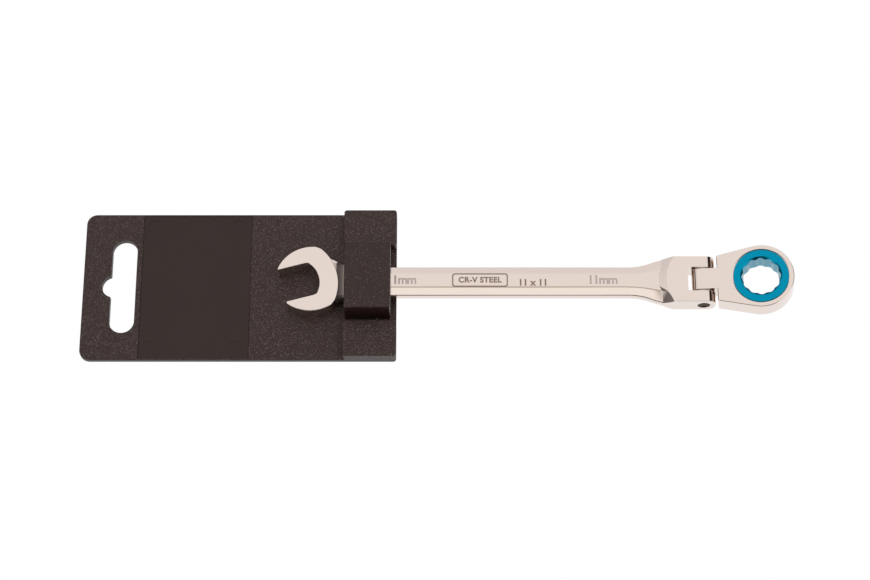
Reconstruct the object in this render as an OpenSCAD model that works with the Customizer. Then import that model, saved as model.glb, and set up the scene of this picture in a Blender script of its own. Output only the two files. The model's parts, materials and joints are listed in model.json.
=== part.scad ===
// Flex-head combination ratchet wrench, 11 mm, locked on its plastic display hanger.
// mm, +Z up. The hanger lies on z = 0, the wrench runs along X with its jaw at -X and its ratchet ring at +X.

/* [Size] */
// hexagon the wrench is made for, across flats
hex_size = 11; // [8:1:14]
// extra width of the open jaw over the hexagon
jaw_play = 0.15; // [0.05:0.05:0.3]
// height of the wrench's mid plane over the table
mid_z = 5.3; // [4.8:0.1:7]
// x of the hinge pin, which puts the assembly's middle on x = 0
pin_x = 84.7; // [70:0.05:100]

/* [Hanger plate] */
// plate length along X
plate_l = 100.7; // [80:0.1:120]
// plate width along Y
plate_w = 50; // [40:0.5:60]
// plate thickness
plate_t = 2.2; // [1.5:0.1:3]
// plate corner radius
plate_r = 3.3; // [1:0.1:6]
// x of the plate's left edge
plate_x0 = -113.95; // [-130:0.05:-90]
// hang slot width along X
slot_w = 8; // [6:0.5:10]
// hang slot length along Y
slot_l = 31.8; // [20:0.2:36]
// distance from the left edge to the middle of the hang slot
slot_in = 12.9; // [8:0.1:20]
// radius of the round notch in the hang slot for a single hook
notch_r = 3.75; // [2:0.05:5]
// smooth label area, length along X
label_l = 35; // [10:0.5:50]
// distance from the left edge to the label area
label_in = 18.7; // [15:0.1:40]

/* [Hanger blocks and lock cap] */
// length of the two side blocks along X
block_l = 17; // [10:0.5:25]
// y of a block's inner wall
block_y = 12.8; // [11.5:0.1:15]
// height of a block over the table
block_h = 6.1; // [4:0.1:10]
// corner radius of a block
block_r = 0.9; // [0.4:0.1:3]
// lock cap length along X
cap_l = 14.6; // [10:0.1:16]
// lock cap width along Y
cap_w = 22.5; // [18:0.1:24]
// height of the cap's top over the table
cap_top = 13; // [11:0.1:16]
// cap wall thickness
cap_wall = 1.5; // [1:0.1:2.5]
// length along X of a leg that locks the cap in the plate
leg_l = 6; // [4:0.5:10]
// gap round a leg in its plate socket
leg_gap = 0.08; // [0.05:0.01:0.15]

/* [Jaw and shank] */
// tilt of the open jaw
jaw_tilt = 15; // [0:0.5:22.5]
// x of the jaw's middle
jaw_x = -40.05; // [-60:0.05:-30]
// y of the jaw's middle
jaw_y = 0.4; // [-1:0.1:1]
// jaw thickness
jaw_t = 6.16; // [4:0.02:8]
// radius of each cheek of the jaw
cheek_r = 12; // [10:0.1:14]
// distance of each cheek's centre from the jaw's axis
cheek_off = 1.1; // [0:0.1:3]
// radius of the jaw's back edge
back_r = 15.6; // [11:0.1:20]
// depth of the jaw's back edge behind its middle
back_d = 8.1; // [6:0.1:11]
// radius of the throat
throat_r = 8.3; // [6:0.1:10]
// depth of the throat behind the jaw's middle
throat_d = 2.1; // [0:0.1:4]
// shank width
shank_w = 10; // [7:0.1:13]
// shank thickness
shank_t = 4.8; // [3:0.1:6]
// width of the shank's flat top between its bevels
flat_w = 4.7; // [3:0.1:8]
// drop of each bevel
bevel_d = 1.2; // [0.5:0.1:2]
// width of the shank's root at the jaw
root_w = 16.4; // [10:0.1:18]
// length over which the root narrows to the shank
root_l = 11; // [4:0.5:14]

/* [Clevis and hinge] */
// clevis width
clevis_w = 15.4; // [12:0.1:18]
// clevis thickness
clevis_t = 7.4; // [6:0.1:9]
// length of the flare from the shank to the clevis
flare_l = 14; // [8:0.5:20]
// distance from the pin back to the end of the flare
flare_in = 9.65; // [7:0.05:16]
// distance from the pin back to the clevis's raised pad
pad_in = 11.6; // [8:0.1:14]
// radius of the raised pad's rounded end
pad_r = 12; // [8:0.5:20]
// length of the ramp from the pad down to the shank
ramp_l = 3; // [1:0.1:5]
// width of the slot between the ears
ear_gap = 8; // [6:0.1:10]
// distance from the pin back to the slot's floor
slot_d = 5.1; // [4.6:0.1:7]
// distance from the pin to the end of each ear
ear_end = 3.7; // [3:0.1:5]
// corner radius at the end of each ear
ear_r = 2.2; // [1:0.1:3]
// pin radius in the near ear and the tongue
pin_r = 2; // [1.5:0.1:2.5]
// pin radius in the far ear, where it is threaded
thread_r = 1.7; // [1:0.1:2.2]
// depth of each pin end below its ear
pin_sunk = 0.8; // [0.2:0.1:1.5]
// across flats of the pin's hexagon socket
key_af = 2; // [1.5:0.1:2.5]
// thickness of the friction washer on each side of the tongue
washer_t = 0.4; // [0.2:0.05:0.8]
// radius of each friction washer
washer_r = 3.5; // [3:0.1:4]

/* [Ratchet head] */
// upward flex of the head at rest
flex = 8.3; // [-90:0.1:90]
// distance from the pin to the ring's centre
ring_d = 18.5; // [15:0.1:25]
// ring outer radius
ring_r = 10.5; // [9:0.1:13]
// head thickness
head_t = 7.5; // [6:0.1:10]
// tongue width between the ears
tongue_w = 7; // [5:0.1:9]
// distance from the pin back to the tongue's end
tongue_end = 3.5; // [3:0.1:4.5]
// corner radius of the tongue's end
tongue_r = 1.6; // [1:0.1:2.5]
// distance from the pin to the neck's shoulders
neck_in = 4.6; // [4.4:0.1:7]

/* [Ratchet works] */
// number of gear teeth
teeth = 72; // [36:12:96]
// radius at the gear's tooth tips
tip_r = 8.5; // [7:0.05:10]
// radius at the gear's tooth roots
root_r = 8.15; // [6.5:0.05:9.5]
// radius of the gear's front flange
flange_r = 8.82; // [8:0.01:10]
// radius of the gear's back boss
boss_r = 8.1; // [7:0.05:9]
// radius of the front counterbore that shows as a gap round the flange
bore_front_r = 9.05; // [8.5:0.05:10]
// thickness of the retaining ring
snap_t = 0.45; // [0.3:0.05:0.8]
// outer radius of the retaining ring
snap_r = 8.75; // [8.3:0.05:9.5]
// pawl width along Y
pawl_w = 4.6; // [3:0.1:7]
// pawl height along Z
pawl_h = 3.9; // [2:0.1:5]
// distance from the pin to the back of the pawl
pawl_in = 8.6; // [7.5:0.1:9.5]
// distance from the pin to the floor of the pawl's pocket
pocket_in = 6.2; // [5.5:0.1:7]
// gap round the pawl in its pocket
pawl_gap = 0.05; // [0.03:0.01:0.1]
// coil radius of the pawl's spring
coil_r = 0.95; // [0.5:0.05:1.5]
// wire radius of the pawl's spring
wire_r = 0.15; // [0.1:0.01:0.3]
// turns in the pawl's spring
coils = 4; // [3:1:8]

/* [Hidden] */
fine = 96;
jaw_gap = hex_size + jaw_play;
sy = [-1, 1];
plate_x1 = plate_x0 + plate_l;
block_x0 = plate_x1 - block_l;
cap_x0 = block_x0 + 0.5;
cap_z0 = plate_t + 0.3;
shank_top = mid_z + shank_t / 2;
shank_bottom = mid_z - shank_t / 2;
leg_x = cap_x0 + cap_l / 2 - leg_l / 2;
leg_z0 = 0.4;
flare_x1 = pin_x - flare_in;
flare_x0 = flare_x1 - flare_l;
flare_dy = (clevis_w - shank_w) / 2;
flare_r = (flare_l * flare_l + flare_dy * flare_dy) / (4 * flare_dy);
flare_mid = (flare_x0 + flare_x1) / 2;
pad_rise = (clevis_t - shank_t) / 2;
pin_y = clevis_w / 2 - pin_sunk;
washer_gap = (ear_gap / 2 - tongue_w / 2 - washer_t) / 2;
// heights inside the ring, from the head's own mid plane
flange_floor = 2.65;
web_top = -2.3;
web_bottom = -2.85;
snap_z = web_bottom - 0.03 - snap_t;
gear_end = head_t / 2 - 0.08;
hex_r = (hex_size + 0.1) / sqrt(3);
star_r = 6.2;
lead_r = 6.6;

// a plate or bar on the X-Y plane with rounded corners
module round_rect(x0, y0, x1, y1, r) {
    for (x = [x0 + r, x1 - r], y = [y0 + r, y1 - r]) translate([x, y]) circle(r, $fn = fine);
    translate([x0 + r, y0]) square([x1 - x0 - 2 * r, y1 - y0]);
    translate([x0, y0 + r]) square([x1 - x0, y1 - y0 - 2 * r]);
}

// a box from corner to corner
module box(a, b) {
    translate(a) cube(b - a);
}

// the euro hang slot, with a round notch on its left side
module hang_slot() {
    cx = plate_x0 + slot_in;
    for (y = sy * (slot_l / 2 - slot_w / 2)) translate([cx, y]) circle(slot_w / 2, $fn = fine);
    translate([cx - slot_w / 2, -slot_l / 2 + slot_w / 2]) square([slot_w, slot_l - slot_w]);
    translate([cx - slot_w / 2 + 0.9, 0]) circle(notch_r, $fn = fine);
}

// the display hanger: plate, hang slot, two side blocks, cradle ribs and the cap's two sockets
module hanger() {
    color("#3e3430") difference() {
        union() {
            linear_extrude(plate_t) {
                round_rect(plate_x0, -plate_w / 2, plate_x1 - plate_r, plate_w / 2, plate_r);
                round_rect(block_x0, -plate_w / 2, plate_x1, plate_w / 2, block_r);
            }
            for (s = sy) mirror([0, s < 0 ? 1 : 0, 0]) linear_extrude(block_h)
                round_rect(block_x0, block_y, plate_x1, plate_w / 2, block_r);
            for (x = [cap_x0 + 1.9, cap_x0 + cap_l - 3.1])
                box([x, -4, plate_t - 0.2], [x + 1.2, 4, shank_bottom - 0.02]);
        }
        translate([0, 0, -1]) linear_extrude(plate_t + 2) hang_slot();
        // label area and the groove in front of the blocks, both a step lower than the plate
        box([plate_x0 + label_in, -plate_w / 2 + 0.4, plate_t - 0.12],
            [plate_x0 + label_in + label_l, plate_w / 2 - 0.4, plate_t + 1]);
        box([block_x0 - 1.4, -plate_w / 2 - 1, plate_t - 0.2], [block_x0 - 0.1, plate_w / 2 + 1, plate_t + 1]);
        for (s = sy) mirror([0, s < 0 ? 1 : 0, 0])
            box([leg_x - leg_gap, cap_w / 2 - cap_wall - leg_gap, -1],
                [leg_x + leg_l + leg_gap, cap_w / 2 + leg_gap, plate_t + 1]);
    }
}

// the lock cap: a box over the shank, open below and at both ends, with two legs into the plate
module lock_cap() {
    shoulder = shank_top + 0.04;
    color("#453a36") {
        difference() {
            box([cap_x0, -cap_w / 2, cap_z0], [cap_x0 + cap_l, cap_w / 2, cap_top]);
            box([cap_x0 + cap_wall, -cap_w / 2 + cap_wall, cap_z0 - 1],
                [cap_x0 + cap_l - cap_wall, cap_w / 2 - cap_wall, cap_top - cap_wall]);
            box([cap_x0 - 1, -shank_w / 2 - 0.15, cap_z0 - 1], [cap_x0 + cap_l + 1, shank_w / 2 + 0.15, shoulder]);
            box([cap_x0 - 1, -root_w / 2 + 1, cap_z0 - 1], [cap_x0 + cap_wall + 0.1, root_w / 2 - 1, shoulder]);
        }
        for (x = [cap_x0 + cap_l / 3 - 0.6, cap_x0 + 2 * cap_l / 3 - 0.6])
            box([x, -cap_w / 2 + cap_wall - 0.1, shoulder], [x + 1.2, cap_w / 2 - cap_wall + 0.1, cap_top - 1]);
        for (s = sy) mirror([0, s < 0 ? 1 : 0, 0])
            box([leg_x, cap_w / 2 - cap_wall, leg_z0], [leg_x + leg_l, cap_w / 2, cap_z0 + 0.5]);
    }
}

// outline of the open jaw about its middle, opening to the left
module jaw_outline() {
    difference() {
        intersection() {
            translate([-0.3, -cheek_off]) circle(cheek_r, $fn = fine);
            translate([-0.3, cheek_off]) circle(cheek_r, $fn = fine);
            translate([back_d - back_r, 0]) circle(back_r, $fn = fine);
        }
        intersection() {
            translate([-20, -jaw_gap / 2]) square([30, jaw_gap]);
            union() {
                translate([throat_d - throat_r, 0]) circle(throat_r, $fn = fine);
                translate([-20, -10]) square([20 + throat_d - throat_r, 20]);
            }
        }
        // blunt tips
        translate([-cheek_r - 9.9, -15]) square([cheek_r, 30]);
    }
}

// half of the plan: straight shank, S-shaped flare, clevis
module plan_half() {
    translate([jaw_x + 7, 0]) square([flare_mid - jaw_x - 7, shank_w / 2]);
    polygon([[jaw_x + 4, 0], [jaw_x + 4, root_w / 2], [jaw_x + 5, root_w / 2],
        [jaw_x + 5 + root_l, shank_w / 2], [jaw_x + 5 + root_l, 0]]);
    difference() {
        translate([flare_x0, 0]) square([flare_l / 2, shank_w / 2 + flare_dy / 2]);
        translate([flare_x0, shank_w / 2 + flare_r]) circle(flare_r, $fn = fine);
    }
    intersection() {
        translate([flare_mid, 0]) square([flare_l / 2 + 0.1, clevis_w / 2]);
        translate([flare_x1, clevis_w / 2 - flare_r]) circle(flare_r, $fn = fine);
    }
    translate([flare_x1, 0]) square([pin_x + ear_end - flare_x1, clevis_w / 2]);
}

// one bevel of the shank, and its run-out along the flare, as a slab to cut away
module bevel_cut() {
    run = atan(flare_dy / flare_l);
    slope = atan(bevel_d / ((shank_w - flat_w) / 2));
    translate([jaw_x - 20, flat_w / 2, shank_t / 2]) rotate([-slope, 0, 0]) cube([flare_x0 - jaw_x + 20.5, 9, 4]);
    translate([flare_x0, flat_w / 2, shank_t / 2]) rotate([0, 0, run]) rotate([-slope, 0, 0])
        translate([-1, 0, 0]) cube([flare_l, 9, 4]);
}

// the handle: jaw, bevelled shank and clevis, forged in one piece
module handle() {
    color("#d8d2cc") translate([0, 0, mid_z]) difference() {
        union() {
            translate([jaw_x, jaw_y, -jaw_t / 2]) linear_extrude(jaw_t) rotate(jaw_tilt) jaw_outline();
            difference() {
                translate([0, 0, -shank_t / 2]) linear_extrude(shank_t)
                    for (m = [0, 1]) mirror([0, m]) plan_half();
                for (m = [0, 1], n = [0, 1]) mirror([0, m, 0]) mirror([0, 0, n]) bevel_cut();
                translate([jaw_x, jaw_y, -5]) rotate(jaw_tilt) translate([-20, -jaw_gap / 2, 0])
                    cube([20 + throat_d, jaw_gap, 10]);
            }
            intersection() {
                translate([0, 0, -clevis_t / 2]) linear_extrude(clevis_t)
                    for (m = [0, 1]) mirror([0, m]) plan_half();
                union() {
                    for (n = [0, 1]) mirror([0, 0, n]) translate([pin_x - pad_in + pad_r, 0, shank_t / 2 - 0.1])
                        cylinder(h = pad_rise + 0.1, r1 = pad_r + ramp_l, r2 = pad_r, $fn = fine);
                    translate([pin_x - pad_in + pad_r, 0, -shank_t / 2]) cylinder(h = shank_t, r = pad_r, $fn = fine);
                }
            }
        }
        // slot for the tongue, rounded ear ends, pin holes
        box([pin_x - slot_d, -ear_gap / 2, -9], [pin_x + 20, ear_gap / 2, 9]);
        for (n = [0, 1]) mirror([0, 0, n]) translate([pin_x + ear_end - ear_r, -10, clevis_t / 2 - ear_r])
            difference() {
                cube([ear_r + 1, 20, ear_r + 1]);
                rotate([-90, 0, 0]) translate([0, 0, -1]) cylinder(h = 22, r = ear_r, $fn = fine);
            }
        translate([pin_x, 0, 0]) rotate([90, 0, 0]) cylinder(h = clevis_w, r = pin_r + 0.02, $fn = fine);
        translate([pin_x, 0, 0]) rotate([-90, 0, 0]) cylinder(h = clevis_w, r = thread_r + 0.02, $fn = fine);
    }
}

// the hinge screw: plain through the near ear and the tongue, threaded in the far ear
module hinge_screw() {
    color("#2e2a29") translate([pin_x, 0, mid_z]) difference() {
        rotate([-90, 0, 0]) {
            translate([0, 0, -pin_y]) cylinder(h = pin_y + tongue_w / 2 + 0.3, r = pin_r, $fn = fine);
            translate([0, 0, 0]) cylinder(h = pin_y, r = thread_r, $fn = fine);
        }
        rotate([90, 0, 0]) translate([0, 0, pin_y - 2]) rotate(30)
            cylinder(h = 3, r = key_af / sqrt(3), $fn = 6);
    }
}

// one friction washer between an ear and the tongue
module washer(s) {
    y0 = s > 0 ? tongue_w / 2 + washer_gap : -tongue_w / 2 - washer_gap - washer_t;
    color("#8a8580") translate([pin_x, y0, mid_z]) rotate([-90, 0, 0]) difference() {
        cylinder(h = washer_t, r = washer_r, $fn = fine);
        translate([0, 0, -1]) cylinder(h = washer_t + 2, r = pin_r + 0.03, $fn = fine);
    }
}

module washer_near() {
    washer(-1);
}

module washer_far() {
    washer(1);
}

// puts a piece of the head in place: pin at the origin, ring along +X, flexed up about the pin
module on_hinge() {
    translate([pin_x, 0, mid_z]) rotate([0, -flex, 0]) children();
}

// plan of the head: shoulders, straight sides tangent to the ring, ring
module head_plan() {
    reach = ring_d - neck_in;
    half = clevis_w / 2;
    far = sqrt(reach * reach + half * half);
    touch = 180 - atan(half / reach) - acos(ring_r / far);
    tx = ring_d + ring_r * cos(touch);
    ty = ring_r * sin(touch);
    translate([ring_d, 0]) circle(ring_r, $fn = fine);
    polygon([[neck_in, -half], [tx, -ty], [ring_d, 0], [tx, ty], [neck_in, half]]);
}

// the ratchet head: tongue, neck, ring, with the bore for the gear and the pocket for the pawl
module ratchet_head() {
    color("#d8d2cc") on_hinge() difference() {
        union() {
            translate([0, 0, -head_t / 2]) linear_extrude(head_t) head_plan();
            // tongue with a rounded end
            translate([0, tongue_w / 2, 0]) rotate([90, 0, 0]) linear_extrude(tongue_w) {
                round_rect(-tongue_end, -head_t / 2, neck_in, head_t / 2, tongue_r);
                translate([0, -head_t / 2]) square([neck_in + 1, head_t]);
            }
        }
        rotate([90, 0, 0]) translate([0, 0, -10]) cylinder(h = 20, r = pin_r + 0.03, $fn = fine);
        translate([ring_d, 0, 0]) {
            translate([0, 0, flange_floor]) cylinder(h = 5, r = bore_front_r, $fn = fine);
            translate([0, 0, web_top]) cylinder(h = 5, r = tip_r + 0.1, $fn = fine);
            translate([0, 0, -5]) cylinder(h = 5, r = boss_r + 0.1, $fn = fine);
            translate([0, 0, web_bottom - 5]) cylinder(h = 5, r = bore_front_r, $fn = fine);
        }
        // pawl pocket, open to the bore
        box([pocket_in, -pawl_w / 2 - pawl_gap, -pawl_h / 2 - pawl_gap],
            [ring_d - tip_r + 0.6, pawl_w / 2 + pawl_gap, pawl_h / 2 + pawl_gap]);
    }
}

// outline of the gear's teeth, grown by g
module tooth_ring(g = 0) {
    polygon([for (i = [0 : teeth - 1], k = [0, 1])
        let (a = (i + k / 2) * 360 / teeth, r = (k == 0 ? tip_r : root_r) + g) [r * cos(a), r * sin(a)]]);
}

// the ratchet gear: front flange, teeth, back boss with the ring groove, twelve-point opening
module ratchet_gear() {
    color("#0091b9") on_hinge() translate([ring_d, 0, 0]) difference() {
        union() {
            translate([0, 0, flange_floor + 0.04])
                cylinder(h = gear_end - flange_floor - 0.04, r = flange_r, $fn = fine);
            translate([0, 0, web_top + 0.05]) linear_extrude(flange_floor - web_top) tooth_ring();
            difference() {
                translate([0, 0, -gear_end]) cylinder(h = gear_end, r = boss_r, $fn = fine);
                translate([0, 0, snap_z - 0.03]) difference() {
                    cylinder(h = snap_t + 0.08, r = boss_r + 1, $fn = fine);
                    translate([0, 0, -1]) cylinder(h = 3, r = boss_r - 0.4, $fn = fine);
                }
            }
        }
        intersection() {
            translate([0, 0, -5]) cylinder(h = 10, r = star_r, $fn = fine);
            for (a = [0, 30]) rotate(a) translate([0, 0, -5]) cylinder(h = 10, r = hex_r, $fn = 6);
        }
        for (n = [0, 1]) mirror([0, 0, n]) translate([0, 0, gear_end - 0.7])
            cylinder(h = 0.8, r1 = hex_r - 0.7, r2 = lead_r + 0.05, $fn = fine);
    }
}

// the split retaining ring at the back of the gear
module retaining_ring() {
    color("#5a5a5c") on_hinge() translate([ring_d, 0, snap_z]) difference() {
        cylinder(h = snap_t, r = snap_r, $fn = fine);
        translate([0, 0, -1]) cylinder(h = snap_t + 2, r = boss_r - 0.35, $fn = fine);
        box([boss_r - 1, -0.8, -1], [snap_r + 1, 0.8, 2]);
    }
}

// the pawl: a block whose face meshes with the gear
module pawl() {
    color("#77706a") on_hinge() difference() {
        box([pawl_in, -pawl_w / 2, -pawl_h / 2], [ring_d - root_r, pawl_w / 2, pawl_h / 2]);
        translate([ring_d, 0, -5]) linear_extrude(10) tooth_ring(0.04);
        translate([ring_d, 0, -5]) cylinder(h = 10, r = root_r + 0.05, $fn = fine);
    }
}

// the pawl's coil spring, a round wire swept along a helix about the head's own X axis
module pawl_spring() {
    steps = 16;
    sides = 6;
    n = coils * steps;
    x0 = pocket_in + wire_r + 0.03;
    x1 = pawl_in - wire_r - 0.03;
    points = [for (i = [0 : n], j = [0 : sides - 1])
        let (a = i * 360 / steps, b = j * 360 / sides, r = coil_r + wire_r * cos(b))
        [x0 + (x1 - x0) * i / n + wire_r * sin(b), r * cos(a), r * sin(a)]];
    walls = [for (i = [0 : n - 1], j = [0 : sides - 1])
        let (k = (j + 1) % sides) [i * sides + j, i * sides + k, (i + 1) * sides + k, (i + 1) * sides + j]];
    color("#9a9a9c") on_hinge() polyhedron(points, concat(walls,
        [[for (j = [sides - 1 : -1 : 0]) j]], [[for (j = [0 : sides - 1]) n * sides + j]]));
}

hanger();
lock_cap();
handle();
hinge_screw();
washer_near();
washer_far();
ratchet_head();
ratchet_gear();
retaining_ring();
pawl();
pawl_spring();
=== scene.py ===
"""An 11 mm flex-head ratchet wrench with an open jaw, locked on its plastic display hanger."""
import json
import math

import bmesh
import bpy
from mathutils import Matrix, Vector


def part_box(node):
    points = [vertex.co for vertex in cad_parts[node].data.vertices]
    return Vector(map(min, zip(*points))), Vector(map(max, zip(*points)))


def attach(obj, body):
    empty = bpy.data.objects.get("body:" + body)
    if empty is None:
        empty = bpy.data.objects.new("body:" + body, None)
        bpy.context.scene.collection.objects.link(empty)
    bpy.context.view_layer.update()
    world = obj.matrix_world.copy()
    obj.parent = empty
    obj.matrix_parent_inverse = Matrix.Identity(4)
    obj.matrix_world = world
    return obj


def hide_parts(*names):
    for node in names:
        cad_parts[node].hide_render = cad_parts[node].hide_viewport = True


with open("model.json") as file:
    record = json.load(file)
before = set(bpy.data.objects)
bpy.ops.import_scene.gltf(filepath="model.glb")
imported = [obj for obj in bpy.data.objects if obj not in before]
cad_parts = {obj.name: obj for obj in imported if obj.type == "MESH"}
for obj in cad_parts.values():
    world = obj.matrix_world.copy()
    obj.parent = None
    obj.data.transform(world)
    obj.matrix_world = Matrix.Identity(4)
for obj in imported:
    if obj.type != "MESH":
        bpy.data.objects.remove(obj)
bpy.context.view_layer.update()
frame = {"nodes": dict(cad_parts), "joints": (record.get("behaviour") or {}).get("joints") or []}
MM = 0.001


# ---------------------------------------------------------------- camera
# A long lens stands over the table, tipped 21.3 degrees from the vertical towards the near side.
TILT = math.radians(21.3)
STAND_OFF = 684.4 * MM
AIM = (-0.94 * MM, -0.4 * MM, 0)

bpy.ops.object.select_all(action="DESELECT")
bpy.ops.object.camera_add(
    location=(AIM[0], AIM[1] - STAND_OFF * math.sin(TILT), STAND_OFF * math.cos(TILT)),
    rotation=(TILT, 0, 0),
)
camera = bpy.context.object
camera.name = "camera"
camera.data.sensor_width = 36
camera.data.lens = 87.93
camera.data.clip_start = 0.01
camera.data.dof.use_dof = False
bpy.context.scene.camera = camera


# ---------------------------------------------------------------- display hanger
# One injection moulding in black ABS: a flat plate with a hang slot, and two blocks that stand
# on each side of the wrench. The mould is spark eroded, and only the label area is smooth.
def block(low, high):
    """A box from its lowest to its highest corner, in millimetres."""
    bpy.ops.object.select_all(action="DESELECT")
    bpy.ops.mesh.primitive_cube_add(size=1, location=[(a + b) / 2 * MM for a, b in zip(low, high)])
    piece = bpy.context.object
    piece.scale = [(b - a) * MM for a, b in zip(low, high)]
    bpy.ops.object.transform_apply(location=True, rotation=True, scale=True)
    return piece


def rod(centre, radius, length, axis="Z", sides=96):
    """A round bar about its centre, in millimetres."""
    turn = {"X": (0, math.pi / 2, 0), "Y": (math.pi / 2, 0, 0), "Z": (0, 0, 0)}[axis]
    bpy.ops.object.select_all(action="DESELECT")
    bpy.ops.mesh.primitive_cylinder_add(
        vertices=sides, radius=radius * MM, depth=length * MM,
        location=[c * MM for c in centre], rotation=turn,
    )
    bpy.ops.object.transform_apply(location=True, rotation=True, scale=True)
    return bpy.context.object


def apply_modifier(piece, kind, **settings):
    """Adds one modifier with its settings and applies it."""
    bpy.ops.object.select_all(action="DESELECT")
    piece.select_set(True)
    bpy.context.view_layer.objects.active = piece
    modifier = piece.modifiers.new(kind.lower(), kind)
    for name, value in settings.items():
        setattr(modifier, name, value)
    bpy.ops.object.modifier_apply(modifier=modifier.name)


def turn_about(piece, place, angle, axis="Z"):
    """Turns and moves a piece that was made about the origin, and leaves its place in its mesh."""
    piece.rotation_euler["XYZ".index(axis)] = angle
    piece.location = [c * MM for c in place]
    bpy.ops.object.select_all(action="DESELECT")
    piece.select_set(True)
    bpy.context.view_layer.objects.active = piece
    bpy.ops.object.transform_apply(location=True, rotation=True, scale=True)
    return piece


def volume(piece):
    """Volume that a closed piece encloses."""
    shape = bmesh.new()
    shape.from_mesh(piece.data)
    size = shape.calc_volume()
    shape.free()
    return size


def combine(piece, other, how):
    """Unites, cuts or intersects a piece with another, which is used up."""
    whole, tool, crumb = volume(piece), volume(other), 1e-12
    least = {"UNION": max(whole, tool), "DIFFERENCE": whole - tool, "INTERSECT": crumb}[how]
    untouched = piece.data.copy()
    # Where faces nearly touch, most of the piece can be lost. The step is then done again, with the
    # other piece moved by about a thousandth of a millimetre.
    for nudge in (0.0004, -0.0007, 0.0011, -0.0016, None):
        apply_modifier(piece, "BOOLEAN", operation=how, object=other, solver="EXACT")
        merge(piece)
        if nudge is None or volume(piece) > 0.999 * least:
            break
        piece.data = untouched.copy()
        turn_about(other, (nudge, nudge, nudge), 0)
    bpy.data.meshes.remove(untouched)
    bpy.data.meshes.remove(other.data)
    return piece


def cut(piece, *tools):
    for tool in tools:
        combine(piece, tool, "DIFFERENCE")
    return piece


def weld(piece, *others):
    for other in others:
        combine(piece, other, "UNION")
    return piece


def edit(piece, elements="EDGE"):
    """Opens a piece for shaping, with nothing selected."""
    bpy.ops.object.select_all(action="DESELECT")
    piece.select_set(True)
    bpy.context.view_layer.objects.active = piece
    bpy.ops.object.mode_set(mode="EDIT")
    bpy.ops.mesh.select_mode(type=elements)
    bpy.ops.mesh.select_all(action="DESELECT")
    bpy.ops.object.mode_set(mode="OBJECT")


def merge(piece, near=0.001):
    """Merges points that lie together."""
    edit(piece, "VERT")
    bpy.ops.object.mode_set(mode="EDIT")
    bpy.ops.mesh.select_all(action="SELECT")
    bpy.ops.mesh.remove_doubles(threshold=near * MM)
    bpy.ops.object.mode_set(mode="OBJECT")


def flatten(piece, near=0.002):
    """Merges points that lie together and joins faces that lie in one plane."""
    merge(piece, near)
    bpy.ops.object.mode_set(mode="EDIT")
    bpy.ops.mesh.dissolve_limited(angle_limit=math.radians(0.2))
    bpy.ops.object.mode_set(mode="OBJECT")


def round_upright(piece, radius, where=lambda x, y: True, segments=8):
    """Rounds the upright corners of a block whose place passes the test."""
    edit(piece)
    points = piece.data.vertices
    for edge in piece.data.edges:
        a, b = (points[i].co for i in edge.vertices)
        upright = abs(a.x - b.x) < 1e-7 and abs(a.y - b.y) < 1e-7
        edge.select = upright and where(a.x / MM, a.y / MM)
    bpy.ops.object.mode_set(mode="EDIT")
    bpy.ops.mesh.bevel(
        offset=radius * MM, offset_type="OFFSET", segments=segments, affect="EDGES", clamp_overlap=False
    )
    bpy.ops.object.mode_set(mode="OBJECT")


def soften(piece, radius, angle=30, segments=3):
    """Rounds every edge sharper than the angle."""
    apply_modifier(
        piece, "BEVEL", width=radius * MM, segments=segments, limit_method="ANGLE",
        angle_limit=math.radians(angle), use_clamp_overlap=False,
    )


def finish_shape(piece, name, body, slot, *nodes):
    """Names a finished piece, smooths its faces and puts it on its body in place of its CAD node."""
    bpy.ops.object.select_all(action="DESELECT")
    piece.select_set(True)
    bpy.context.view_layer.objects.active = piece
    bpy.ops.object.mode_set(mode="EDIT")
    bpy.ops.mesh.select_all(action="SELECT")
    bpy.ops.mesh.remove_doubles(threshold=1e-6)
    bpy.ops.mesh.normals_make_consistent(inside=False)
    bpy.ops.object.mode_set(mode="OBJECT")
    bpy.ops.object.shade_smooth_by_angle(angle=math.radians(35))
    apply_modifier(piece, "WEIGHTED_NORMAL", keep_sharp=True, weight=100)
    piece.name = piece.data.name = name
    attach(piece, body)
    if nodes:
        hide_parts(*nodes)
    return piece


def linear(colour):
    """An sRGB hex colour as the linear one that a shader takes."""
    parts = [int(colour[i:i + 2], 16) / 255 for i in (1, 3, 5)]
    return (*(c / 12.92 if c <= 0.04045 else ((c + 0.055) / 1.055) ** 2.4 for c in parts), 1)


def add(tree, kind, links=None, **settings):
    """Adds one shader node.

    links gives each input the output that feeds it, and settings gives an input or a property its value.
    """
    node = tree.nodes.new(kind)
    for name, value in settings.items():
        if hasattr(node, name):
            setattr(node, name, value)
        else:
            node.inputs[name.replace("_", " ")].default_value = value
    for name, source in (links or {}).items():
        tree.links.new(source, node.inputs[name])
    return node


def new_material(name):
    """An empty node material, its tree and its output."""
    material = bpy.data.materials.new(name)
    material.use_nodes = True
    material.node_tree.nodes.clear()
    return material, material.node_tree, material.node_tree.nodes.new("ShaderNodeOutputMaterial")


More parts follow.
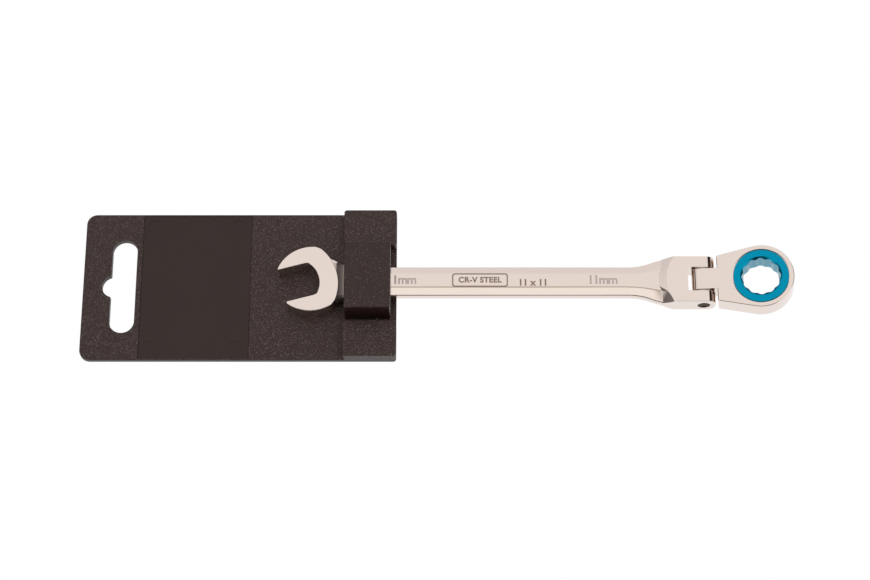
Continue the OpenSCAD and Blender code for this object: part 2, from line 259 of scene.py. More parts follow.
def moulded_abs(name, base, painted_glint, grain_mm, relief, roughness):
    """ABS moulded in a spark-eroded tool: fine pits, with a pale glint painted into the colour on some of
    them.
    """
    material, tree, output = new_material(name)
    place = add(tree, "ShaderNodeTexCoord")
    where = place.outputs["Object"]
    grain = 1 / (grain_mm * MM)
    pits = add(tree, "ShaderNodeTexNoise", {"Vector": where}, Scale=grain, Detail=3.0, Roughness=0.6)
    # painted highlights: a pale colour is mixed into the base colour in a few of these cells, to stand for
    # glints of light off the pits
    glints = add(tree, "ShaderNodeTexVoronoi", {"Vector": where}, Scale=grain / 1.6)
    spot = add(
        tree, "ShaderNodeMapRange", {"Value": glints.outputs["Distance"]},
        From_Min=0.02, From_Max=0.36, To_Min=1.0, To_Max=0.0,
    )
    chosen = add(tree, "ShaderNodeSeparateColor", {"Color": glints.outputs["Color"]})
    rare = add(tree, "ShaderNodeMapRange", {"Value": chosen.outputs["Red"]}, From_Min=0.5, From_Max=0.95)
    amount = add(tree, "ShaderNodeMath", {0: spot.outputs[0], 1: rare.outputs[0]}, operation="MULTIPLY")
    # the tone wanders a little over about 17 mm
    wide = add(tree, "ShaderNodeTexNoise", {"Vector": where}, Scale=60.0, Detail=2.0)
    tone = add(tree, "ShaderNodeMix", {"Factor": wide.outputs["Fac"]}, data_type="RGBA")
    tone.inputs[6].default_value = linear(base)
    tone.inputs[7].default_value = [c * 1.25 for c in linear(base)[:3]] + [1]
    colour = add(tree, "ShaderNodeMix", {"Factor": amount.outputs[0], 6: tone.outputs[2]}, data_type="RGBA")
    colour.inputs[7].default_value = linear(painted_glint)
    dull = add(
        tree, "ShaderNodeMapRange", {"Value": pits.outputs["Fac"]},
        To_Min=roughness - 0.08, To_Max=roughness + 0.12,
    )
    bump = add(tree, "ShaderNodeBump", {"Height": pits.outputs["Fac"]}, Strength=relief, Distance=0.02 * MM)
    shader = add(
        tree, "ShaderNodeBsdfPrincipled",
        {"Base Color": colour.outputs[2], "Roughness": dull.outputs[0], "Normal": bump.outputs[0]}, IOR=1.4,
    )
    tree.links.new(shader.outputs[0], output.inputs[0])
    return material


low, high = ([c / MM for c in corner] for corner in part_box("hanger"))
cap_low, cap_high = ([c / MM for c in corner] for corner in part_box("lock_cap"))
PLATE_T, BLOCK_L, BLOCK_Y, PARTING = 2.2, 17, 12.8, 0.03
block_x = high[0] - BLOCK_L

# the plate, and the two blocks, whose edges stand just proud of it at the mould's parting line
hanger = block((low[0], low[1] + PARTING, 0), (high[0] - PARTING, high[1] - PARTING, PLATE_T))
round_upright(hanger, 3.3, lambda x, y: x < low[0] + 1)
round_upright(hanger, 0.9, lambda x, y: x > block_x, 6)
soften(hanger, 0.22, angle=50)
for side in (-1, 1):
    inner, outer = sorted((side * BLOCK_Y, side * high[1]))
    riser = block((block_x, inner, 0.3), (high[0], outer, high[2]))
    round_upright(riser, 1.6, lambda x, y: x < block_x + 1 and abs(y) < BLOCK_Y + 1, 6)
    round_upright(riser, 0.9, lambda x, y: x > block_x + 3 or abs(y) > BLOCK_Y + 3, 6)
    soften(riser, 0.22, angle=50)
    weld(hanger, riser)

# the hang slot, with a round notch for a single hook
slot_x, slot_half, slot_w, notch_r = low[0] + 12.9, 15.9, 8, 3.75
slot = block((slot_x - slot_w / 2, -slot_half, -1), (slot_x + slot_w / 2, slot_half, 4))
round_upright(slot, slot_w / 2 - 0.01, segments=16)
notch = rod((slot_x - slot_w / 2 + 0.9, 0, 1), notch_r, 6, sides=48)
cut(hanger, weld(slot, notch))

# the smooth label area lies a little lower, with the round marks of four ejector pins near its corners
label_x, label_l, label_depth, margin = low[0] + 18.7, 35, 0.12, 0.4
label_low = (label_x, low[1] + margin, PLATE_T - label_depth)
cut(hanger, block(label_low, (label_x + label_l, high[1] - margin, 4)))
for x in (label_x + 3.4, label_x + label_l - 4.2):
    for y in (-20.6, 21):
        cut(hanger, rod((x, y, PLATE_T + 0.78), 2, 2, sides=64))

# a fine groove at each end of the label area, and one before the blocks
groove_half, groove_depth = 0.14, 0.45
for x in (label_x, label_x + label_l):
    start = (x - groove_half, low[1] + margin, PLATE_T - groove_depth)
    cut(hanger, block(start, (x + groove_half, high[1] - margin, 4)))
cut(hanger, block((block_x - 1.4, low[1] - 1, PLATE_T - 0.2), (block_x - 0.1, high[1] + 1, 4)))

# sockets for the cap's legs, and two ribs that the shank rests on
LEG_HALF, CAP_WALL, PLAY = 3, 1.5, 0.08
leg_x = (cap_low[0] + cap_high[0]) / 2
for side in (-1, 1):
    inner, outer = sorted((side * (cap_high[1] - CAP_WALL - PLAY), side * (cap_high[1] + PLAY)))
    cut(hanger, block((leg_x - LEG_HALF - PLAY, inner, -1), (leg_x + LEG_HALF + PLAY, outer, 4)))
for x in (cap_low[0] + 1.9, cap_high[0] - 3.1):
    weld(hanger, block((x, -4, PLATE_T - 0.3), (x + 1.2, 4, 2.88)))
finish_shape(hanger, "hanger_moulding", "hanger", "hanger_plastic", "hanger")

# the second colour of each ABS is a painted glint, a highlight mixed into the base colour
textured = moulded_abs("spark-eroded black ABS", "#221312", "#b3a79d", 0.15, 1.0, 0.42)
smooth = moulded_abs("smooth black ABS", "#1d0d0a", "#2b1c18", 0.25, 0.25, 0.38)
hanger.data.materials.append(textured)
hanger.data.materials.append(smooth)
for face in hanger.data.polygons:
    x, y, z = (c / MM for c in face.center)
    if label_x - 0.1 < x < label_x + label_l + 0.1 and PLATE_T - 0.3 < z < PLATE_T - 0.05:
        face.material_index = 1


# ---------------------------------------------------------------- lock cap
# A small ABS box that is pushed down over the shank and holds the wrench until it is lifted off.
# Its mould is finely etched, and its round top edges carry a thin line of light. Two legs stand in
# the plate.
CAP_Z, SHANK_TOP, SHANK_HALF, NECK_HALF = 2.5, 7.74, 5.15, 7.2
cap = block((cap_low[0], cap_low[1], CAP_Z), cap_high)
soften(cap, 0.34)
inner_low = (cap_low[0] + CAP_WALL, cap_low[1] + CAP_WALL, 0)
inner_high = [c - CAP_WALL for c in cap_high]
passage = block((cap_low[0] - 1, -SHANK_HALF, 0), (cap_high[0] + 1, SHANK_HALF, SHANK_TOP))
cut(cap, block(inner_low, inner_high), passage)
for side in (-1, 1):
    inner, outer = sorted((side * (cap_high[1] - CAP_WALL), side * (cap_high[1] - 0.02)))
    weld(cap, block((leg_x - LEG_HALF, inner, cap_low[2]), (leg_x + LEG_HALF, outer, CAP_Z + 1)))
cut(cap, block((cap_low[0] - 1, -NECK_HALF, 0), (cap_low[0] + CAP_WALL + 0.1, NECK_HALF, SHANK_TOP)))
for third in (1, 2):
    x = cap_low[0] + third * (cap_high[0] - cap_low[0]) / 3
    rib_low = (x - 0.6, cap_low[1] + CAP_WALL - 0.1, SHANK_TOP)
    weld(cap, block(rib_low, (x + 0.6, cap_high[1] - CAP_WALL + 0.1, cap_high[2] - 1)))
finish_shape(cap, "lock_cap_moulding", "cap", "cap_plastic", "lock_cap")
# the cap's pale second colour is a painted glint, a highlight mixed into the base colour
cap.data.materials.append(moulded_abs("fine-textured dark ABS", "#1f100e", "#7b6d66", 0.24, 0.55, 0.32))


# ---------------------------------------------------------------- handle
# One forging in chrome-vanadium steel, ground, nickel and chrome plated and polished to a mirror:
# the open jaw, the shank with its four bevels, and the clevis that holds the ratchet head.
joint_at = {j["name"]: [c / MM for c in j["pos_m"]] for j in frame["joints"] if "pos_m" in j}
pin_x, _, mid_z = joint_at["head_flex"]
JAW_X, JAW_Y, JAW_TILT, JAW_T, JAW_GAP = -40.05, 0.4, math.radians(15), 6.16, 11.15
SHANK_W, SHANK_T, FLAT_W, BEVEL_D = 10, 4.8, 4.7, 1.2
CLEVIS_W, CLEVIS_T, FLARE_L, FLARE_IN = 15.4, 7.4, 14, 9.65


def slice_off(piece, point, normal):
    """Cuts away what lies beyond a plane and closes the cut."""
    size = math.hypot(*normal)
    edit(piece, "FACE")
    bpy.ops.object.mode_set(mode="EDIT")
    bpy.ops.mesh.select_all(action="SELECT")
    bpy.ops.mesh.bisect(
        plane_co=[c * MM for c in point], plane_no=[c / size for c in normal],
        use_fill=True, clear_outer=True, threshold=1e-7,
    )
    bpy.ops.object.mode_set(mode="OBJECT")


def draw_out(piece, stations):
    """Draws the +X end face out in steps. Each step gives its x, its half width and its half height."""
    edit(piece, "FACE")
    for face in piece.data.polygons:
        face.select = face.normal.x > 0.9
    bpy.ops.object.mode_set(mode="EDIT")
    x0, y0, z0 = stations[0]
    for x, y, z in stations[1:]:
        bpy.ops.mesh.extrude_region_move(TRANSFORM_OT_translate={"value": ((x - x0) * MM, 0, 0)})
        bpy.ops.transform.resize(value=(1, y / y0, z / z0), center_override=(x * MM, 0, mid_z * MM))
        x0, y0, z0 = x, y, z
    bpy.ops.object.mode_set(mode="OBJECT")


def flare(x):
    """Half width of the handle at x, along two equal arcs from the shank to the clevis."""
    end = pin_x - FLARE_IN
    start = end - FLARE_L
    rise = (CLEVIS_W - SHANK_W) / 2
    arc = (FLARE_L ** 2 + rise ** 2) / (4 * rise)
    if x < start:
        return SHANK_W / 2
    if x < (start + end) / 2:
        return SHANK_W / 2 + arc - math.sqrt(arc ** 2 - (x - start) ** 2)
    if x < end:
        return CLEVIS_W / 2 - arc + math.sqrt(arc ** 2 - (x - end) ** 2)
    return CLEVIS_W / 2


# open jaw: two round cheeks and a flatter back, cut by the gap and its round throat
CHEEK_X, CHEEK_Y, CHEEK_R, BACK_X, BACK_R = -0.3, 1.1, 12, 8.1, 15.6
jaw = rod((CHEEK_X, -CHEEK_Y, 0), CHEEK_R, JAW_T, sides=112)
combine(jaw, rod((CHEEK_X, CHEEK_Y, 0), CHEEK_R, JAW_T + 2, sides=112), "INTERSECT")
combine(jaw, rod((BACK_X - BACK_R, 0, 0), BACK_R, JAW_T + 2, sides=144), "INTERSECT")

# narrow flats round off the two corners between the cheeks and the back
CORNER_X, CORNER_Y, CORNER_R = -0.41, 3.33, 8
for side in (-1, 1):
    for degrees in (43, 47.8, 52.5, 57.2, 62):
        c, d = math.cos(math.radians(degrees)), side * math.sin(math.radians(degrees))
        slice_off(jaw, (CORNER_X + CORNER_R * c, side * CORNER_Y + CORNER_R * d, 0), (c, d, 0))

# the gap ends in a round throat, and the jaw's tips end square
THROAT_X, THROAT_R, TIP_X = 2.1, 8.3, -9.9
gap = block((-20, -JAW_GAP / 2, -5), (6, JAW_GAP / 2, 5))
mouth = rod((THROAT_X - THROAT_R, 0, 0), THROAT_R, 12, sides=84)
weld(mouth, block((-20, -10, -6), (THROAT_X - THROAT_R, 10, 6)))
combine(gap, mouth, "INTERSECT")
flatten(gap, 0.2)
round_upright(gap, 1.2, lambda x, y: x > -3 and abs(y) > JAW_GAP / 2 - 0.1, 4)
cut(jaw, gap, block((-25, -15, -5), (TIP_X, 15, 5)))
flatten(jaw, 0.25)
soften(jaw, 0.2, angle=50)
turn_about(jaw, (JAW_X, JAW_Y, mid_z), JAW_TILT)

# shank: a bar with its four long edges ground off, and a wider root that hollows in from the jaw
flare_x = pin_x - FLARE_IN - FLARE_L
OVERLAP, ROOT_X, ROOT_END, SHANK_X = 1.2, JAW_X + 4, JAW_X + 14.5, JAW_X + 11.5
run = (SHANK_W - FLAT_W) / 2


def grind(bar, flat, top):
    """Grinds off the four long edges of a bar, beyond a flat of this half width at this height."""
    for side in (-1, 1):
        for face in (-1, 1):
            slice_off(bar, (0, side * flat, mid_z + face * top), (0, side * BEVEL_D, face * run))


# its half width and half height shrink from 7.4 by 2.75 to 5.6 by 1.75, along half a cosine wave
wave = [(t / 10, math.cos(math.pi * t / 10)) for t in range(11)]
ROOT_HALF, ROOT_TOP = 7.4, 2.75
root = block((ROOT_X, -ROOT_HALF, mid_z - ROOT_TOP), (ROOT_X + 1, ROOT_HALF, mid_z + ROOT_TOP))
grind(root, 6.2, ROOT_TOP)
hollow = [(ROOT_X + 1 + 5.6 * t, 6.5 + 0.9 * c, 2.25 + 0.5 * c) for t, c in wave]
draw_out(root, hollow + [(ROOT_END, 4.5, 1.55)])
soften(root, 0.12, angle=18)

# the shank starts small inside the root and swells to its full section
shank = block((SHANK_X - 0.5, -SHANK_W / 2, mid_z - SHANK_T / 2), (SHANK_X, SHANK_W / 2, mid_z + SHANK_T / 2))
grind(shank, FLAT_W / 2, SHANK_T / 2)
edit(shank)
bpy.ops.object.mode_set(mode="EDIT")
bpy.ops.mesh.select_all(action="SELECT")
bpy.ops.transform.resize(value=(1, 0.9, 0.62), center_override=(0, 0, mid_z * MM))
bpy.ops.object.mode_set(mode="OBJECT")
swell = [(SHANK_X + 4.0 * t, 4.75 - 0.25 * c, 1.944 - 0.456 * c) for t, c in wave]
draw_out(shank, swell + [(flare_x + OVERLAP, SHANK_W / 2, SHANK_T / 2)])
soften(shank, 0.4, angle=18)

# flare: the same bar widens to the clevis, and its bevels widen with it
outline = [(flare_x + FLARE_L * t / 24, flare(flare_x + FLARE_L * t / 24), 1) for t in range(25)]
half_w, half_t = SHANK_W / 2, SHANK_T / 2
flared = block((flare_x - OVERLAP, -half_w, mid_z - half_t), (flare_x, half_w, mid_z + half_t))
grind(flared, FLAT_W / 2, half_t)
draw_out(flared, outline)
soften(flared, 0.4, angle=14)

# clevis: a thicker block whose back end is round and ramps down to the shank
PAD_BACK, PAD_R, RAMP, EAR_END, EAR_R = 11.6, 12, 3.0, 3.7, 2.8
PAD_X = pin_x - PAD_BACK + PAD_R
FOOT_R, FOOT_Z, RAMP_Z = PAD_R + RAMP + 1.9, 0.8, half_t - 0.05
rise = CLEVIS_T / 2 - RAMP_Z
profile = [(PAD_R + RAMP, RAMP_Z)]
for t in range(1, 9):
    climb = 0.75 * t / 8 + 0.125 * (1 - math.cos(math.pi * t / 8))
    profile.append((PAD_R + RAMP * (1 - t / 8), RAMP_Z + rise * climb))
clevis = rod((PAD_X, 0, mid_z), FOOT_R, 2 * FOOT_Z, sides=192)
for face in (-1, 1):
    edit(clevis, "FACE")
    for polygon in clevis.data.polygons:
        polygon.select = polygon.normal.z * face > 0.9
    bpy.ops.object.mode_set(mode="EDIT")
    radius, height = FOOT_R, FOOT_Z
    for new_radius, new_height in profile:
        lift = (0, 0, face * (new_height - height) * MM)
        shrink = new_radius / radius
        bpy.ops.mesh.extrude_region_move(TRANSFORM_OT_translate={"value": lift})
        bpy.ops.transform.resize(value=(shrink, shrink, 1), center_override=(PAD_X * MM, 0, mid_z * MM))
        radius, height = new_radius, new_height
    bpy.ops.object.mode_set(mode="OBJECT")
plan = block((flare_x - 0.4, -half_w, mid_z - CLEVIS_T / 2), (flare_x, half_w, mid_z + CLEVIS_T / 2))
draw_out(plan, outline + [(pin_x + EAR_END, CLEVIS_W / 2, 1)])
edit(plan)
for edge in plan.data.edges:
    a, b = (plan.data.vertices[i].co / MM for i in edge.vertices)
    edge.select = min(a.x, b.x) > pin_x + EAR_END - 0.1 and abs(a.z - b.z) < 1e-4
bpy.ops.object.mode_set(mode="EDIT")
bpy.ops.mesh.bevel(offset=EAR_R * MM, segments=10, affect="EDGES", clamp_overlap=False)
bpy.ops.object.mode_set(mode="OBJECT")
soften(plan, 0.15, angle=50)
combine(clevis, plan, "INTERSECT")
flatten(clevis)

# a small facet closes the end of each bevel
FACET_X, FACET_Y = pin_x - 13.4, 3.6
for side in (-1, 1):
    for face in (-1, 1):
        corner = (FACET_X, side * FACET_Y, mid_z + face * half_t)
        slice_off(clevis, corner, (-0.55, side * 0.3, face * 0.78))

# the slot between the ears takes the tongue, and the jaw's gap is cut clear of the root
SLOT_X, SLOT_HALF, NEAR_HOLE, FAR_HOLE = pin_x - 5.1, 4, 2.03, 1.75
handle = weld(shank, flared, root, jaw, clevis)
cut(handle, block((SLOT_X, -SLOT_HALF, mid_z - 6), (pin_x + 9, SLOT_HALF, mid_z + 6)))
turned_gap = block((-20, -JAW_GAP / 2, -5), (-2, JAW_GAP / 2, 5))
cut(handle, turn_about(turned_gap, (JAW_X, JAW_Y, mid_z), JAW_TILT))
cut(handle, rod((pin_x, -6, mid_z), NEAR_HOLE, 6, "Y"), rod((pin_x, 6, mid_z), FAR_HOLE, 6, "Y"))
finish_shape(handle, "handle_forging", "handle", "polished_chrome", "handle")


def mirror_chrome(name, tint, haze):
    """Polished chrome plate: a warm mirror, with a faint haze where the forging was ground.

    The haze comes in clouds about 7 mm across, and the surface ripples over about 11 mm.
    """
    material, tree, output = new_material(name)
    place = add(tree, "ShaderNodeTexCoord")
    blur = add(tree, "ShaderNodeTexNoise", {"Vector": place.outputs["Object"]}, Scale=140.0, Detail=4.0)
    rough = add(
        tree, "ShaderNodeMapRange", {"Value": blur.outputs["Fac"]},
        From_Min=0.3, From_Max=0.7, To_Min=0.04, To_Max=0.04 + haze,
    )
    ripple = add(tree, "ShaderNodeTexNoise", {"Vector": place.outputs["Object"]}, Scale=90.0, Detail=1.0)
    bump = add(tree, "ShaderNodeBump", {"Height": ripple.outputs["Fac"]}, Strength=0.35, Distance=0.05 * MM)
    shader = add(
        tree, "ShaderNodeBsdfPrincipled", {"Roughness": rough.outputs[0], "Normal": bump.outputs[0]},
        Base_Color=linear(tint), Metallic=1.0,
    )
    tree.links.new(shader.outputs[0], output.inputs[0])
    return material


chrome = mirror_chrome("polished chrome plate", "#e4d7d0", 0.08)
handle.data.materials.append(chrome)


# ---------------------------------------------------------------- hinge screw and washers
# A blackened steel screw with a small hexagon socket, sunk in the near ear and threaded in the
# far one. A thin steel washer on each side of the tongue gives the hinge its drag.
def plain_metal(name, tint, roughness, grain_mm):
    """Bare or blackened steel with fine turning marks."""
    material, tree, output = new_material(name)
    place = add(tree, "ShaderNodeTexCoord")
    grain = 1 / (grain_mm * MM)
    marks = add(tree, "ShaderNodeTexNoise", {"Vector": place.outputs["Object"]}, Scale=grain, Detail=4.0)
    rough = add(
        tree, "ShaderNodeMapRange", {"Value": marks.outputs["Fac"]},
        To_Min=roughness - 0.08, To_Max=roughness + 0.12,
    )
    bump = add(tree, "ShaderNodeBump", {"Height": marks.outputs["Fac"]}, Strength=0.3, Distance=0.01 * MM)
    shader = add(
        tree, "ShaderNodeBsdfPrincipled", {"Roughness": rough.outputs[0], "Normal": bump.outputs[0]},
        Base_Color=linear(tint), Metallic=1.0,
    )
    tree.links.new(shader.outputs[0], output.inputs[0])
    return material


blackened = plain_metal("blackened steel", "#55504c", 0.35, 0.4)
steel = plain_metal("bright turned steel", "#b7b3af", 0.3, 0.3)
for name, material in (
    ("hinge_screw", blackened), ("washer_near", steel), ("washer_far", steel),
    ("retaining_ring", steel), ("pawl", steel), ("pawl_spring", steel),
):
    node = frame["nodes"][name]
    node.data.materials.clear()
    node.data.materials.append(material)


# ---------------------------------------------------------------- ratchet head
# A second chrome-plated forging: a tongue that turns between the ears, a neck whose sides run
# straight to the ring, and the ring, bored in steps for the gear.
ring_x = math.dist(joint_at["gear_spin"], joint_at["head_flex"])
flex = math.atan2(joint_at["gear_spin"][2] - mid_z, joint_at["gear_spin"][0] - pin_x)
RING_R, HEAD_T, TONGUE_W, NECK_X = 10.5, 7.5, 7, 4.6

half = CLEVIS_W / 2
head = rod((ring_x, 0, 0), RING_R, HEAD_T, sides=192)
shoulders = block((NECK_X, -half, -HEAD_T / 2), (NECK_X + 0.1, half, HEAD_T / 2))
bpy.ops.object.select_all(action="DESELECT")
shoulders.select_set(True)
head.select_set(True)
bpy.context.view_layer.objects.active = head
bpy.ops.object.join()
edit(head)
bpy.ops.object.mode_set(mode="EDIT")
bpy.ops.mesh.select_all(action="SELECT")
bpy.ops.mesh.convex_hull()
bpy.ops.object.mode_set(mode="OBJECT")
flatten(head, 0.05)
round_upright(head, 0.4, lambda x, y: x < NECK_X + 0.05, 4)
soften(head, 0.38, angle=50)
tongue = block((-3.5, -TONGUE_W / 2, -HEAD_T / 2), (NECK_X + 2, TONGUE_W / 2, HEAD_T / 2))
edit(tongue)
for edge in tongue.data.edges:
    a, b = (tongue.data.vertices[i].co for i in edge.vertices)
    edge.select = max(a.x, b.x) < 0 and abs(a.z - b.z) < 1e-7
bpy.ops.object.mode_set(mode="EDIT")
bpy.ops.mesh.bevel(offset=2.3 * MM, segments=12, affect="EDGES", clamp_overlap=False)
bpy.ops.object.mode_set(mode="OBJECT")
soften(tongue, 0.12, angle=50)
weld(head, tongue)
FLANGE_SEAT, FLANGE_BORE, TOOTH_SEAT, TOOTH_BORE = 2.65, 9.1, -2.3, 8.6
REAR_BORE, GROOVE_SEAT, GROOVE_BORE, PAWL_HALF = 8.2, -2.85, 9.05, 2.35
cut(
    head,
    rod((ring_x, 0, FLANGE_SEAT + 5), FLANGE_BORE, 10, sides=128),
    rod((ring_x, 0, TOOTH_SEAT + 5), TOOTH_BORE, 10),
    rod((ring_x, 0, 0), REAR_BORE, 12),
    rod((ring_x, 0, GROOVE_SEAT - 5), GROOVE_BORE, 10),
    rod((0, 0, 0), NEAR_HOLE, 20, "Y"),
    block((6.2, -PAWL_HALF, -2), (10.6, PAWL_HALF, 2)),
)
turn_about(head, (pin_x, 0, mid_z), -flex, "Y")
finish_shape(head, "ratchet_head_forging", "head", "polished_chrome", "ratchet_head")
head.data.materials.append(chrome)


# ---------------------------------------------------------------- ratchet gear
# Steel with a blue metallic coating: a flange that shows in the ring's face, the teeth behind it,
# and the twelve-point opening, broached right through and countersunk at both ends.
FLANGE_R, FLANGE_TOP, FLANGE_UNDER = 8.8, 3.67, 2.69
gear = rod((0, 0, (FLANGE_TOP + FLANGE_UNDER) / 2), FLANGE_R, FLANGE_TOP - FLANGE_UNDER, sides=128)
soften(gear, 0.12)
weld(gear, rod((0, 0, -0.4), 8.1, 6.54, sides=128))
TEETH, TOOTH_TIP, TOOTH_ROOT = 72, 8.5, 8.15
toothed = rod((0, 0, 0.2), TOOTH_TIP, 4.9, sides=2 * TEETH)
edit(toothed)
for edge in toothed.data.edges:
    a, b = (toothed.data.vertices[i].co for i in edge.vertices)
    step = round(math.atan2(a.y, a.x) / (math.pi / TEETH))
    edge.select = abs(a.z - b.z) > 1e-6 and step % 2 == 1
bpy.ops.object.mode_set(mode="EDIT")
inward = TOOTH_ROOT / TOOTH_TIP
bpy.ops.transform.resize(value=(inward, inward, 1), center_override=(0, 0, 0))
bpy.ops.object.mode_set(mode="OBJECT")
weld(gear, toothed)
# two hexagons, 11.1 mm across their flats, with the tips of the star cut round
HEX_R, STAR_R = 6.409, 6.2
star = rod((0, 0, 0), HEX_R, 12, sides=6)
turned = rod((0, 0, 0), HEX_R, 12, sides=6)
turn_about(turned, (0, 0, 0), math.radians(30))
weld(star, turned)
combine(star, rod((0, 0, 0), STAR_R, 11, sides=144), "INTERSECT")
cut(gear, star)
for face in (-1, 1):
    bpy.ops.object.select_all(action="DESELECT")
    bpy.ops.mesh.primitive_cone_add(
        vertices=128, radius1=5.6 * MM, radius2=6.75 * MM, depth=0.9 * MM, location=(0, 0, 3.35 * MM)
    )
    sink = bpy.context.object
    bpy.ops.object.transform_apply(location=True, rotation=True, scale=True)
    if face < 0:
        turn_about(sink, (0, 0, 0), math.pi, "X")
    cut(gear, sink)
turn_about(gear, joint_at["gear_spin"], -flex, "Y")
finish_shape(gear, "gear_blue", "gear", "blue_gear", "ratchet_gear")


def blue_coat(name):
    """A blue metallic coating that is thinner and greyer where the broach cut the opening.

    Its roughness varies in clouds about 1.4 mm across.
    """
    material, tree, output = new_material(name)
    place = add(tree, "ShaderNodeTexCoord")
    shift = add(tree, "ShaderNodeMapping", {"Vector": place.outputs["Object"]})
    shift.inputs["Location"].default_value = [-c * MM for c in joint_at["gear_spin"]]
    cloud = add(tree, "ShaderNodeTexNoise", {"Vector": shift.outputs[0]}, Scale=700.0, Detail=3.0)
    rough = add(tree, "ShaderNodeMapRange", {"Value": cloud.outputs["Fac"]}, To_Min=0.2, To_Max=0.34)
    length = add(tree, "ShaderNodeVectorMath", {0: shift.outputs[0]}, operation="LENGTH")
    bore = add(
        tree, "ShaderNodeMapRange", {"Value": length.outputs["Value"]},
        From_Min=STAR_R * MM, From_Max=7.1 * MM, To_Min=0.85, To_Max=0.0,
    )
    colour = add(tree, "ShaderNodeMix", {"Factor": bore.outputs[0]}, data_type="RGBA")
    colour.inputs[6].default_value = linear("#0890b4")
    colour.inputs[7].default_value = linear("#5b8fa0")
    shader = add(
        tree, "ShaderNodeBsdfPrincipled",
        {"Base Color": colour.outputs[2], "Roughness": rough.outputs[0]}, Metallic=1.0,
    )
    tree.links.new(shader.outputs[0], output.inputs[0])
    return material


gear.data.materials.append(blue_coat("blue metallic coating"))


# ---------------------------------------------------------------- size marks
# The size is laser etched into the shank near both ends, and the steel and both sizes are marked
# between them. The etching leaves a dull grey or brown frosting.
mark_z = mid_z + SHANK_T / 2 - 0.01


def etched(words, size, x, y, name, bold, spacing):
    """Etched lettering, flat on the shank's top, with its middle at x and y."""
    bpy.ops.object.select_all(action="DESELECT")
    bpy.ops.object.text_add()
    mark = bpy.context.object
    mark.data.body = words
    mark.data.size = size * MM
    mark.data.offset = bold * MM
    mark.data.space_character = spacing
    mark.data.align_x = "CENTER"
    mark.data.align_y = "CENTER"
    mark.data.extrude = 0.012 * MM
    mark.data.resolution_u = 4
    bpy.ops.object.convert(target="MESH")
    flatten(mark, 0.001)
    turn_about(mark, (x, y, mark_z + 0.012), 0)
    finish_shape(mark, name, "handle", "polished_chrome")
    return mark


def frosting(name, tint):
    """Metal frosted by a laser: dull, with a fine uneven grain."""
    material, tree, output = new_material(name)
    place = add(tree, "ShaderNodeTexCoord")
    grain = 6 / MM
    burn = add(tree, "ShaderNodeTexNoise", {"Vector": place.outputs["Object"]}, Scale=grain, Detail=2.0)
    shade = add(tree, "ShaderNodeMix", {"Factor": burn.outputs["Fac"]}, data_type="RGBA")
    shade.inputs[6].default_value = linear(tint)
    shade.inputs[7].default_value = [c * 1.5 for c in linear(tint)[:3]] + [1]
    shader = add(
        tree, "ShaderNodeBsdfPrincipled", {"Base Color": shade.outputs[2]}, Roughness=0.6, Metallic=0.3
    )
    tree.links.new(shader.outputs[0], output.inputs[0])
    return material


grey_etch = frosting("light laser etching", "#938983")
brown_etch = frosting("dark laser etching", "#6b5b52")
for number, x in enumerate((-11.6, 52.5)):
    etched("11mm", 4.1, x, 0, f"size_mark_{number}", 0.1, 0.88).data.materials.append(grey_etch)
etched("CR-V STEEL", 2.6, 13.4, 0, "steel_mark", 0.1, 1.05).data.materials.append(brown_etch)
etched("11 x 11", 3.1, 30.3, -0.9, "pair_mark", 0.1, 1.0).data.materials.append(brown_etch)
border = block((4.5, -2.3, mark_z), (22.3, 2.3, mark_z + 0.024))
round_upright(border, 0.9, segments=6)
inside = block((4.9, -1.9, mark_z - 1), (21.9, 1.9, mark_z + 1))
round_upright(inside, 0.6, segments=6)
cut(border, inside)
finish_shape(border, "steel_mark_border", "handle", "polished_chrome")
border.data.materials.append(brown_etch)


# ---------------------------------------------------------------- table and light
# A white table in a bright, even white room. The near wall and the two ends of the room are dim,
# which gives the chrome its dark lines, and a strip overhead is warmer and less bright.
bpy.ops.object.select_all(action="DESELECT")
bpy.ops.mesh.primitive_plane_add(size=6, location=(0, 0, -30 * MM))
table = bpy.context.object
table.name = "table"
material, tree, output = new_material("white table top")
glow = add(tree, "ShaderNodeEmission", Strength=1.0)
tree.links.new(glow.outputs[0], output.inputs[0])
table.data.materials.append(material)

bpy.ops.object.light_add(type="AREA", location=(0, 0.25, 0.9))
lamp = bpy.context.object
lamp.name = "overhead lamp"
lamp.data.size = 1.4
lamp.data.energy = 9
lamp.visible_glossy = False

world = bpy.data.worlds.new("white room")
bpy.context.scene.world = world
world.use_nodes = True
tree = world.node_tree
tree.nodes.clear()
output = tree.nodes.new("ShaderNodeOutputWorld")
place = add(tree, "ShaderNodeTexCoord")
axes = add(tree, "ShaderNodeSeparateXYZ", {0: place.outputs["Generated"]})


def band(source, start, end):
    """0 before start, 1 after end, with a soft change between."""
    node = add(
        tree, "ShaderNodeMapRange", {"Value": source},
        From_Min=start, From_Max=end, interpolation_type="SMOOTHSTEP",
    )
    return node.outputs[0]


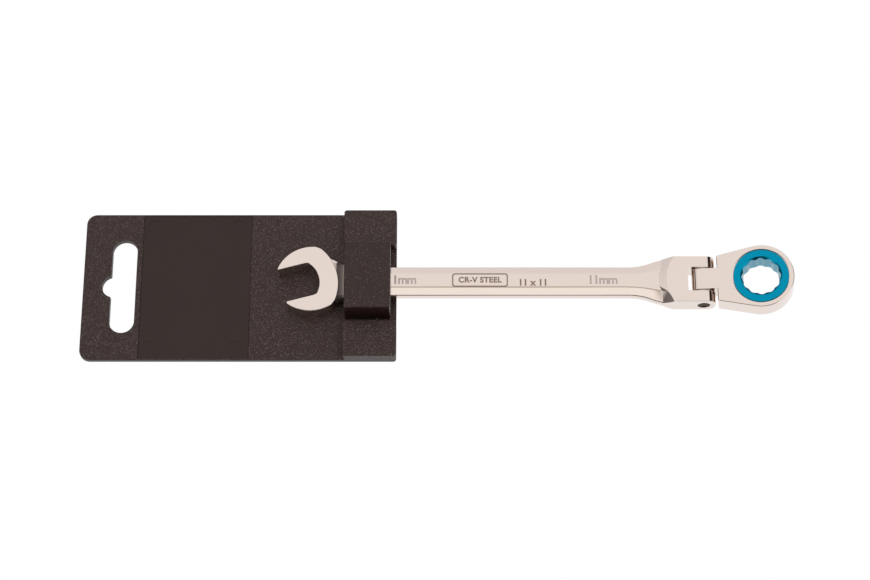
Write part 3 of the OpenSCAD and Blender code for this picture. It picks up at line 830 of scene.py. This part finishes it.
def overlap(*areas):
    """Where all the areas of the room overlap."""
    whole = areas[0]
    for area in areas[1:]:
        whole = add(tree, "ShaderNodeMath", {0: whole, 1: area}, operation="MULTIPLY").outputs[0]
    return whole


def either(*areas):
    """Where any of the areas of the room lies."""
    whole = areas[0]
    for area in areas[1:]:
        whole = add(tree, "ShaderNodeMath", {0: whole, 1: area}, operation="MAXIMUM").outputs[0]
    return whole


def size_of(source):
    """The distance either way from the middle of the room."""
    return add(tree, "ShaderNodeMath", {0: source}, operation="ABSOLUTE").outputs[0]


x, y, z = (axes.outputs[i] for i in range(3))
near_side = overlap(band(y, 0.05, -0.2), band(z, 0.86, 0.76), band(z, 0.04, 0.16), band(size_of(x), 0.6, 0.4))
right_end = overlap(
    band(x, 0.25, 0.45), band(z, 0.88, 0.76), band(z, 0.2, 0.35), band(y, -0.1, 0.1), band(y, 0.65, 0.5)
)
left_end = overlap(
    band(x, -0.4, -0.7), band(z, 0.6, 0.42), band(y, 0.6, 0.4), band(y, -0.4, -0.25),
    band(size_of(y), 0.015, 0.05),
)
left_wall = add(tree, "ShaderNodeMath", {0: band(x, -0.35, -0.55)}, operation="MULTIPLY")
left_wall.inputs[1].default_value = 0.12
dark = either(near_side, right_end, left_end, left_wall.outputs[0])
above = overlap(band(z, 0.95, 0.975), band(y, -0.32, -0.22), band(y, 0.16, 0.04))
sky = add(tree, "ShaderNodeMix", {"Factor": band(y, 0.95, -0.4)}, data_type="RGBA")
sky.inputs[6].default_value = (0.92, 0.905, 0.89, 1)
sky.inputs[7].default_value = (1.12, 1.1, 1.07, 1)
ceiling = add(tree, "ShaderNodeMix", {"Factor": above, 6: sky.outputs[2]}, data_type="RGBA")
ceiling.inputs[7].default_value = (0.62, 0.56, 0.5, 1)
room = add(tree, "ShaderNodeMix", {"Factor": dark, 6: ceiling.outputs[2]}, data_type="RGBA")
room.inputs[7].default_value = linear("#2a1c16")
light = add(tree, "ShaderNodeBackground", {"Color": room.outputs[2]}, Strength=1.0)
tree.links.new(light.outputs[0], output.inputs[0])
bpy.context.scene.view_settings.view_transform = "Standard"
